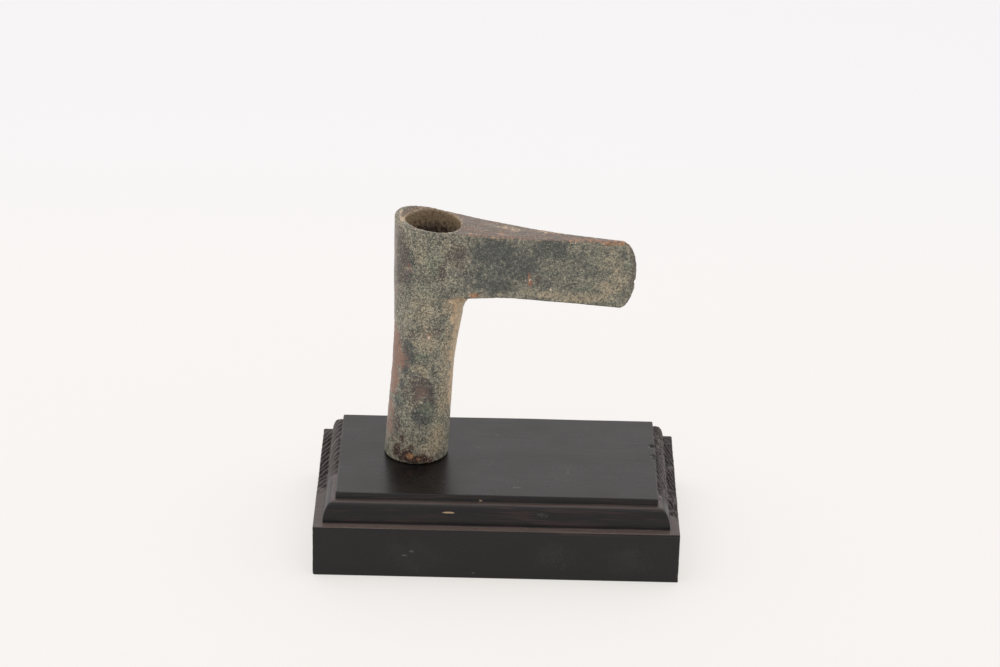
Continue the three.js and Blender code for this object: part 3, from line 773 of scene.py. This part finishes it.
def edge_shares(shares, bm, points, outward, wander):
    """Adds the bore's soil and the painted shade deep in it, the dusty top face and the worn
    arrises, painted lighter as a highlight where they face up, to the stains.
    """
    own, from_bore = off_bore(points)
    x, y, z = own.T
    arris = arris_shares(bm, points, outward)
    away = np.linalg.norm(from_bore, axis=1)
    facing_bore = -np.einsum("ij,ij->i", from_bore, outward[:, :2]) / np.maximum(away, 1.0)
    bore = smooth_step(facing_bore, *FACES_BORE) * (away < BORE_REACH)
    above = smooth_step(outward[:, 2], *FACES_UP) * (z > TOP_LOW)
    broken = smooth_step(wander, *BROKEN)
    rising = arris * smooth_step(outward[:, 2], *RISING) * (z > TOP_LOW)
    falling = arris * smooth_step(outward[:, 2], *FALLING)
    lip = smooth_step(x, *LIP_X)
    cutting = smooth_step(x, *CUTTING_START) * smooth_step(np.abs(y), *CUTTING_HALF)
    # Painted shade: the bore darkens with depth below the mouth, laid on as slate, violet and rust
    # in place of soil.
    deep = bore * smooth_step(z - MOUTH_HEIGHT, *PAINTED_BORE_SHADE)
    front = smooth_step(y, *FRONT_Y)
    back_rim = above * (1 - bore) * (1 - front) * smooth_step(away - BORE_REACH, *BACK_RIM)
    left = smooth_step(x, *LEFT_X)
    inner = smooth_step(away - BORE_REACH, *INNER_RIM)
    shares["soil"] = np.maximum(bore * (1 - 0.8 * deep), 0.5 * back_rim)
    shares["slate"] = np.max((shares["slate"], 0.9 * deep, 0.8 * back_rim), axis=0)
    shares["dust"] = above * (1 - bore) * (1 - 0.6 * lip * (1 - back_rim))
    shares["tan"] *= 1 - back_rim
    # Painted highlight: arrises that face up are worn and also painted lighter as if lit, tan at
    # the mouth's lip, tan and copper along the blade's front and film along its back.
    for kind, added in (
        ("tan", rising * lip * (0.3 + 0.7 * left) * front * inner),
        ("tan", rising * (1 - lip) * front * 0.5),
        ("film", rising * (1 - lip) * (1 - front)),
        ("copper", rising * (1 - lip) * front * (0.3 + 0.4 * broken)),
        ("rust", falling * (0.55 + 0.35 * broken)),
        ("violet", 0.9 * deep),
        ("rust", 0.62 * deep),
        ("violet", cutting * (0.45 + 0.3 * broken)),
    ):
        shares[kind] = np.maximum(shares[kind], added)
    calm = CALM_BORE * bore + CALM_BLADE * smooth_step(x, *FLAT_BLADE_X)
    for kind, weight in CALM.items():
        calm += weight * shares[kind]
    shares["calm"] = np.clip(calm, 0.0, 1.0)


def weathered(points, outward, shares, settings):
    """Moves the points of the smooth casting to its corroded surface."""
    height = clouds(points, "casting") * settings.swell + clouds(points, "grit") * settings.grit
    pits = smooth_step(clouds(points, "pits"), *PITTED)
    rough = sum((weight * shares[kind] for kind, weight in DEEPER_PITS.items()), PLAIN_PITS)
    height -= pits * rough * settings.pit_depth
    height -= shares["cuprite"] * settings.loss
    height -= dented(points, NICKS, HEAD_ORIGIN)
    own, from_bore = off_bore(points)
    flare = smooth_step(np.linalg.norm(from_bore, axis=1), *FLARE_REACH)
    for along_axis, reach in zip(own.T, FLARE_PLACE):
        flare *= smooth_step(along_axis, *reach)
    moved = points + outward * height[:, None]
    moved[:, 2] -= flare * FLARE_DEPTH * MM
    return moved


def set_down(points):
    """Draws the head's foot down across the standing gap to the plinth."""
    drop = HEAD_LOW.z - PLINTH_HIGH.z - TOUCH
    near_foot = smooth_step((points[:, 2] - HEAD_LOW.z) / MM, *FOOT_BLEND)
    points[:, 2] -= near_foot * drop
    points[:, 2] = np.maximum(points[:, 2], PLINTH_HIGH.z + TOUCH)


# Each layer of the patina: kind, how much it covers, whether the grain's hollows hold it, and where
# its ragged edge starts and ends.
BRONZE_LAYERS = (
    ("slate", 0.88, True, 0.1, 1.0),
    ("violet", 0.8, True, 0.2, 0.9),
    ("earth", 0.85, False, 0.2, 0.9),
    ("verdigris", 0.75, False, 0.25, 0.9),
    ("film", 0.9, False, 0.2, 0.7),
    ("dust", 0.85, False, 0.2, 0.95),
    ("soil", 0.95, False, 0.2, 0.8),
    ("tan", 0.92, False, 0.3, 0.75),
    ("cuprite", 0.88, True, 0.25, 0.85),
    ("rust", 0.92, True, 0.4, 0.85),
    ("copper", 0.85, False, 0.4, 0.85),
    ("pale", 1.0, False, 0.35, 0.8),
)

# Each grain: size in mm, detail, roughness, and how it is stretched and shifted.
BRONZE_GRAINS = {
    "fine": (0.65, 2.0, 0.6),
    "coarse": (1.7, 3.0, 0.65),
    "mottle": (3.0, 3.0, 0.65),
    "broad": (7.5, 3.0, 0.6),
    "brushed": (1.0, 3.0, 0.6, (0.28, 1, 1), (0.4, 0.6, 0.1)),
    "drawn": (1.1, 3.0, 0.6, (1, 1, 0.25), (0.2, 0.5, 0.3)),
    "streaks": (1.6, 3.0, 0.6, (0.12, 1, 1), (0.1, 0.3, 0.8)),
    "flecks": (0.75, 2.0, 0.75, (1, 1, 1), (0.3, 0.1, 0.7)),
    "pits": (0.9, 2.0, 0.75, (1, 1, 1), (0.9, 0.5, 0.2)),
}


def bronze_finish(settings):
    """Grey-green patina with its stains, specks, soil and bare edges, and the painted sheen,
    highlights and bore shade that its masks carry.
    """
    made = Finish("patinated_bronze", settings.patina)
    fine, coarse, mottle, broad, brushed, drawn, streaks, flecks, pits = (
        made.grain(*grain) for grain in BRONZE_GRAINS.values()
    )
    made.coat(made.step(broad, 0.36, 0.56, 0.45, 0.0), settings.slate)
    made.coat(made.step(mottle, 0.34, 0.52, 0.4, 0.0), settings.slate)
    made.coat(made.step(mottle, 0.5, 0.68, 0.0, 0.35), settings.earth)
    raised = made.sum(made.sum(-0.9, coarse, 1.1), fine, 0.7)
    hollow = made.times(raised, -1.0)
    for kind, weight, in_hollows, low, high in BRONZE_LAYERS:
        ragged = made.sum(hollow if in_hollows else raised, made.mask(kind), 1.0)
        made.coat(made.step(ragged, low, high, 0.0, weight), getattr(settings, kind))
    made.coat(made.within("tan", made.step(drawn, 0.5, 0.66, 0.0, 0.35)), settings.copper)
    made.coat(made.within("dust", made.step(streaks, 0.5, 0.64, 0.0, 0.55)), settings.cuprite)
    made.coat(made.within("dust", made.step(streaks, 0.48, 0.36, 0.0, 0.5)), settings.film)
    made.coat(made.within("rust", made.step(flecks, 0.54, 0.66, 0.0, 0.5)), settings.copper)
    lively = made.step(made.mask("calm"), 0.0, 0.9, 1.0, 0.25)
    grainy = made.step(made.sum(flecks, pits, -1.0), -0.24, 0.24, 0.52, 1.5)
    made.coat(lively, grainy, "MULTIPLY")
    made.coat(made.times(made.step(pits, 0.58, 0.68, 0.0, 0.7), lively), settings.dark_speck)
    made.coat(made.times(made.step(flecks, 0.56, 0.66, 0.0, 0.9), lively), settings.light_speck)
    uneven = made.sum(made.sum(coarse, fine, 0.8), brushed, 0.5)
    made.coat(1.0, made.step(uneven, 0.9, 1.4, 0.76, 1.24), "MULTIPLY")
    made.set("Base Color", made.tone)
    made.set("Metallic", 0.0)
    made.set("Specular IOR Level", 0.5)
    worn = made.sum(coarse, made.mask("calm"), -0.4)
    made.set("Roughness", made.step(worn, 0.0, 0.7, 0.42, 0.72))
    relief = made.sum(made.sum(made.times(coarse, 1.2), fine, 0.6), pits, -0.9)
    made.set("Normal", made.bump(relief, 0.2 * MM, 0.9))
    return made.material


class AXEHEAD_OT_weather_bronze(bpy.types.Operator):
    """Casts the axe head again as a fine corroded surface with its patina"""

    bl_idname = "axehead.weather_bronze"
    bl_label = "Weather the Bronze"

    def execute(self, context):
        settings = context.scene.bronze
        smooth = merged_copy("axe_head")
        surface = BVHTree.FromBMesh(smooth)
        bm = voxel_copy(smooth, settings.cell)
        smooth.free()
        if not bm.verts:
            raise RuntimeError("the axe head came out of the remesh empty")
        put(bm, [surface.find_nearest(v.co)[0] for v in bm.verts])
        eased(bm, bm.verts, 0.5)
        points = places(bm)
        wander = clouds(points, "stain_edges")
        shares = stain_shares(STAINS, points, HEAD_ORIGIN, wander)
        outward = normals(bm)
        edge_shares(shares, bm, points, outward, wander)
        points = weathered(points, outward, shares, settings)
        set_down(points)
        put(bm, points)
        finished_piece(
            "bronze_axe_head", bm, shares, bronze_finish(settings), "axe_head"
        )
        return {"FINISHED"}


def run_of(edge):
    return edge.verts[1].co - edge.verts[0].co


def squared_up(bm):
    """Joins the triangles of the plinth's mitred sides into four-sided faces."""
    diagonals = []
    for edge in bm.edges:
        run = run_of(edge)
        square = sum(abs(part) > EVEN for part in run) == 1
        mitred = abs(abs(run.x) - abs(run.y)) < EVEN
        if not square and not mitred:
            diagonals.append(edge)
    bmesh.ops.dissolve_edges(bm, edges=diagonals, use_verts=False)


def edges_along(bm, axis):
    return [e for e in bm.edges if abs(run_of(e)[axis]) > ALIGNED * e.calc_length()]


def cut(bm, edges, cuts):
    bmesh.ops.subdivide_edges(bm, edges=edges, cuts=cuts, use_grid_fill=True)


def gridded(bm, settings):
    """Cuts the plinth's faces, all but its underside, into a fine net."""
    under = [f for f in bm.faces if f.normal.z < -ALIGNED]
    bmesh.ops.delete(bm, geom=under, context="FACES")
    straight = set(edges_along(bm, 0)) | set(edges_along(bm, 1))
    rises = {}
    for edge in bm.edges:
        if edge not in straight:
            high = edge.calc_length()
            row = settings.row * (2 if high > TALL else 1)
            rises.setdefault(round(high / row), []).append(edge)
    for rows, edges in rises.items():
        if rows > 1:
            cut(bm, edges, rows - 1)
    cut(bm, edges_along(bm, 0) + edges_along(bm, 1), settings.cuts)
    rim = [e for e in bm.edges if e.is_boundary]
    bmesh.ops.edgeloop_fill(bm, edges=rim)


def torn_ends(points, outward):
    """Where the end grain is torn, the depth of its slanting ridges and the painted highlight along
    their crests, 0 to 1.
    """
    x, y, z = points.T / MM
    out = np.abs(x) - SLAB_END
    on_moulding = smooth_step(z - LEDGE_Z, *ABOVE_LEDGE) * smooth_step(out, *PAST_SLAB)
    faces_end = smooth_step(np.abs(outward[:, 1]), *FACES_SIDE)
    left = x < 0
    front = y + clouds(points, "tear_extent") * TEAR_WANDER
    back = smooth_step(front, np.where(left, *TEAR_BEGINS), np.where(left, *TEAR_WHOLE))
    slant = np.where(left, *MOULDING_SLANT) * np.minimum(out, MOULDING_WIDTH)
    slant += np.where(left, *LEDGE_SLANT) * np.maximum(out - MOULDING_WIDTH, 0.0)
    wander = clouds(points, "tear_wander") * np.where(left, *RIDGE_WANDER)
    rope = (y + slant + wander) / TEAR_PITCH
    # Painted highlight along each ridge's crest.
    painted_crest_highlight = smooth_step(np.abs(rope % 1.0 - CREST_PLACE), CREST_HALF, 0.0)
    gouge = np.zeros(len(points))
    for finer, weight in RIDGE_SETS:
        ridge = (rope * finer) % 1.0
        sunk = smooth_step(ridge, *GOUGE_SINKS) * smooth_step(ridge, *GOUGE_RISES)
        gouge = np.maximum(gouge, sunk * weight)
    patchy = smooth_step(clouds(points, "tear_patches"), *TEAR_PATCHES)
    pits = smooth_step(clouds(points, "tear_pits"), *TEAR_PITS)
    deep = np.where(left, gouge * (0.6 + 0.4 * patchy), np.maximum(gouge * patchy, pits))
    zone = on_moulding * faces_end * back
    return zone, zone * deep, zone * painted_crest_highlight


def zone_masks(points, outward, zone):
    """The flat and the moulded faces of the upper part, and all that is rougher than its top."""
    height = points[:, 2] / MM
    above_block = smooth_step(height, *ABOVE_BLOCK)
    level = smooth_step(outward[:, 2], *LEVEL)
    at_end = smooth_step(np.abs(points[:, 0]) / MM, *AT_END)
    flats = above_block * level * (height < UNDER_TOP) * (1 - LESS_AT_END * at_end)
    flats *= (1 - zone) * (1 - LESS_IN_QUIRK * smooth_step(height, *IN_QUIRK))
    moulded = above_block * (1 - level)
    rough = np.clip(zone + ROUGH_MOULDED * moulded + ROUGH_BLOCK * (1 - above_block), 0.0, 1.0)
    return {"flats": flats, "moulded": moulded, "rough": rough}


# The same for the wood, and how far it wanders.
WOOD_GRAINS = {
    "lines": (0.8, 3.0, 0.6, (0.04, 1, 1), (0, 0, 0), 0.3),
    "streaks": (2.6, 3.0, 0.6, (0.06, 1, 1), (0.2, 0.4, 0.1)),
    "cloud": (14.0, 3.0, 0.5),
    "fine": (0.6, 2.0, 0.6),
    "specks": (0.6, 2.0, 0.7),
}


def wood_finish(settings):
    """Black stain over a close-grained wood, thin and brown along the mouldings."""
    made = Finish("black_stained_wood", settings.stain)
    lines, streaks, cloud, fine, specks = (made.grain(*grain) for grain in WOOD_GRAINS.values())
    drawn = made.sum(lines, streaks, 0.6)
    made.coat(made.step(cloud, 0.42, 0.62, 0.0, 0.7), settings.warm_stain)
    made.coat(made.within("moulded", made.step(drawn, 0.78, 1.0, 0.0, 0.55)), settings.brown)
    edges = made.sum(made.times(made.mask("wear"), 0.55), drawn, 0.6)
    made.coat(made.step(edges, 0.95, 1.3, 0.0, 0.7), settings.brown)
    made.coat(made.within("flats", made.step(drawn, 0.6, 0.95, 0.65, 1.0)), settings.worn)
    # Worn stain on the torn ridges, partly a painted highlight: the ridges lighter than the stained
    # grooves, as light would show them.
    made.coat(made.within("ridges", made.step(fine, 0.35, 0.65, 0.25, 0.7)), settings.worn)
    # Painted highlight: a thin grey line along the crests of the torn ridges.
    made.coat(made.within("crests", made.step(streaks, 0.3, 0.6, 0.3, 0.75)), settings.scuff)
    haze = made.step(made.sum(cloud, fine, 0.6), 0.6, 1.0, 0.0, 0.2)
    made.coat(made.within("cloudy", haze), settings.scuff)
    for mark, shade, ground, low, high in (
        ("scuffed", settings.scuff, fine, 0.55, 1.1),
        ("bare", settings.raw, lines, 0.6, 0.9),
    ):
        share = made.mask(mark)
        rubbed = made.step(made.sum(share, ground, 0.7), low, high, 0.0, 0.9)
        made.coat(made.times(rubbed, made.step(share, 0.05, 0.3)), shade)
    top_only = made.sum(1.0, made.mask("rough"), -1.3)
    made.coat(made.times(made.step(specks, 0.6, 0.74, 0.0, 0.4), top_only), settings.scuff)
    made.set("Base Color", made.tone)
    made.set("IOR", 1.41)
    rough = made.step(made.sum(cloud, fine, 0.3), 0.35, 0.95, 0.24, 0.35)
    made.set("Roughness", made.sum(rough, made.mask("rough"), 0.22))
    relief = made.sum(made.times(lines, 0.1), fine, 0.8)
    made.set("Normal", made.bump(relief, 0.06 * MM, 0.7))
    return made.material


class AXEHEAD_OT_shape_plinth(bpy.types.Operator):
    """Makes the stained plinth with worn arrises and torn end grain"""

    bl_idname = "axehead.shape_plinth"
    bl_label = "Shape the Plinth"

    def execute(self, context):
        settings = context.scene.plinth
        bm = merged_copy("plinth")
        squared_up(bm)
        gridded(bm, settings)
        if not bm.faces:
            raise RuntimeError("the plinth came out of its cuts empty")
        sharp = {v for e in bm.edges if e.calc_face_angle(0.0) > ARRIS_ANGLE for v in e.verts}
        eased(bm, [v for v in sharp if v.co.z > MM], 0.35)
        points = places(bm)
        outward = normals(bm)
        zone, tear, crests = torn_ends(points, outward)
        uneven = clouds(points, "planing") * PLANING
        uneven += clouds(points * np.array(ALONG_WOOD), "wood_lines") * WOOD_LINES
        uneven *= smooth_step(points[:, 2] / MM, *FOOT_EVEN)
        sunk = tear * settings.tear_depth + dented(points, NOTCHES, (0, 0, 0))
        masks = stain_shares(MARKS, points, (0, 0, 0), clouds(points, "mark_edges"))
        masks |= zone_masks(points, outward, zone)
        masks["wear"] = np.array([float(v in sharp) for v in bm.verts])
        # Worn, and partly a painted highlight: the torn ridges, lighter than their grooves.
        masks["ridges"] = zone * (1 - tear)
        masks["crests"] = crests
        points = points + outward * (uneven - sunk)[:, None]
        points[:, 2] = np.maximum(points[:, 2], 0.0)
        put(bm, points)
        finished_piece(
            "black_plinth", bm, masks, wood_finish(settings), "plinth"
        )
        return {"FINISHED"}


def aimed(place, pitch, yaw, roll):
    """The camera's matrix from its place and its pitch down, yaw to the right and roll."""
    forward = Vector((
        math.sin(yaw) * math.cos(pitch), math.cos(yaw) * math.cos(pitch), -math.sin(pitch)
    ))
    right = Vector((math.cos(yaw), -math.sin(yaw), 0.0))
    down = forward.cross(right)
    right, down = (
        right * math.cos(roll) + down * math.sin(roll),
        down * math.cos(roll) - right * math.sin(roll),
    )
    turn = Matrix((right, -down, -forward)).transposed()
    return Matrix.Translation(place) @ turn.to_4x4()


class AXEHEAD_OT_set_stage(bpy.types.Operator):
    """Lays the pale floor and sets the soft light and the camera"""

    bl_idname = "axehead.set_stage"
    bl_label = "Set the Stage"

    def execute(self, context):
        settings = context.scene.stage
        bm = bmesh.new()
        bmesh.ops.create_grid(bm, x_segments=1, y_segments=1, size=FLOOR_HALF)
        mesh = bpy.data.meshes.new("floor")
        bm.to_mesh(mesh)
        bm.free()
        floor = bpy.data.objects.new("floor", mesh)
        context.collection.objects.link(floor)
        paper = Finish("pale_floor", settings.floor)
        depth = paper.node("ShaderNodeSeparateXYZ", {"Vector": paper.place}).outputs["Y"]
        paper.coat(paper.step(depth, *FAR_FLOOR), settings.far_floor)
        paper.set("Base Color", paper.tone)
        paper.set("Roughness", 0.9)
        paper.set("Specular IOR Level", 0.1)
        paper.set("Emission Color", rgba(settings.glow))
        paper.set("Emission Strength", 1.0)
        mesh.materials.append(paper.material)

        world = bpy.data.worlds.new("light_tent")
        world.use_nodes = True
        nodes, links = world.node_tree.nodes, world.node_tree.links
        aim = nodes.new("ShaderNodeSeparateXYZ")
        links.new(nodes.new("ShaderNodeTexCoord").outputs["Generated"], aim.inputs["Vector"])
        share = nodes.new("ShaderNodeMapRange")
        share.interpolation_type = "SMOOTHSTEP"
        share.inputs["From Min"].default_value = OPENING_SPAN[0]
        share.inputs["From Max"].default_value = OPENING_SPAN[1]
        links.new(aim.outputs["Y"], share.inputs["Value"])
        tent = nodes.new("ShaderNodeMix")
        tent.data_type = "RGBA"
        tent.inputs[6].default_value = rgba(settings.opening)
        tent.inputs[7].default_value = rgba(settings.sky)
        links.new(share.outputs["Result"], tent.inputs[0])
        links.new(tent.outputs[2], nodes["Background"].inputs["Color"])
        nodes["Background"].inputs["Strength"].default_value = settings.sky_strength
        context.scene.world = world

        lamp = bpy.data.lights.new("overhead", "AREA")
        lamp.shape = "RECTANGLE"
        lamp.size, lamp.size_y = LAMP_SIZE
        lamp.energy = settings.overhead
        overhead = bpy.data.objects.new("overhead", lamp)
        overhead.location = LAMP_PLACE
        context.collection.objects.link(overhead)

        lens = bpy.data.cameras.new("camera")
        lens.lens = settings.focal
        lens.sensor_width = SENSOR_WIDTH
        lens.clip_start, lens.clip_end = CLIP
        camera = bpy.data.objects.new("camera", lens)
        camera.matrix_world = aimed(Vector(CAMERA_PLACE), *map(math.radians, CAMERA_TURN))
        context.collection.objects.link(camera)
        context.scene.camera = camera
        context.scene.view_settings.view_transform = "Standard"
        return {"FINISHED"}


class AXEHEAD_PT_panel(bpy.types.Panel):
    bl_idname = "AXEHEAD_PT_panel"
    bl_label = "Axe Head"
    bl_space_type = "VIEW_3D"
    bl_region_type = "UI"
    bl_category = "Axe Head"

    def draw(self, context):
        for name, step in zip(SETTINGS, STEPS):
            box = self.layout.box()
            settings = getattr(context.scene, name)
            for setting in settings.bl_rna.properties.keys():
                if setting not in {"rna_type", "name"}:
                    box.prop(settings, setting)
            box.operator(step.bl_idname)


SETTINGS = {"bronze": BronzeSettings, "plinth": PlinthSettings, "stage": StageSettings}
STEPS = (AXEHEAD_OT_weather_bronze, AXEHEAD_OT_shape_plinth, AXEHEAD_OT_set_stage)
CLASSES = (*SETTINGS.values(), *STEPS, AXEHEAD_PT_panel)


def register():
    for item in CLASSES:
        bpy.utils.register_class(item)
    for name, group in SETTINGS.items():
        setattr(bpy.types.Scene, name, PointerProperty(type=group))


def unregister():
    for name in SETTINGS:
        delattr(bpy.types.Scene, name)
    for item in reversed(CLASSES):
        bpy.utils.unregister_class(item)


def main():
    register()
    bpy.ops.axehead.weather_bronze()
    bpy.ops.axehead.shape_plinth()
    bpy.ops.axehead.set_stage()


if __name__ == "__main__":
    main()
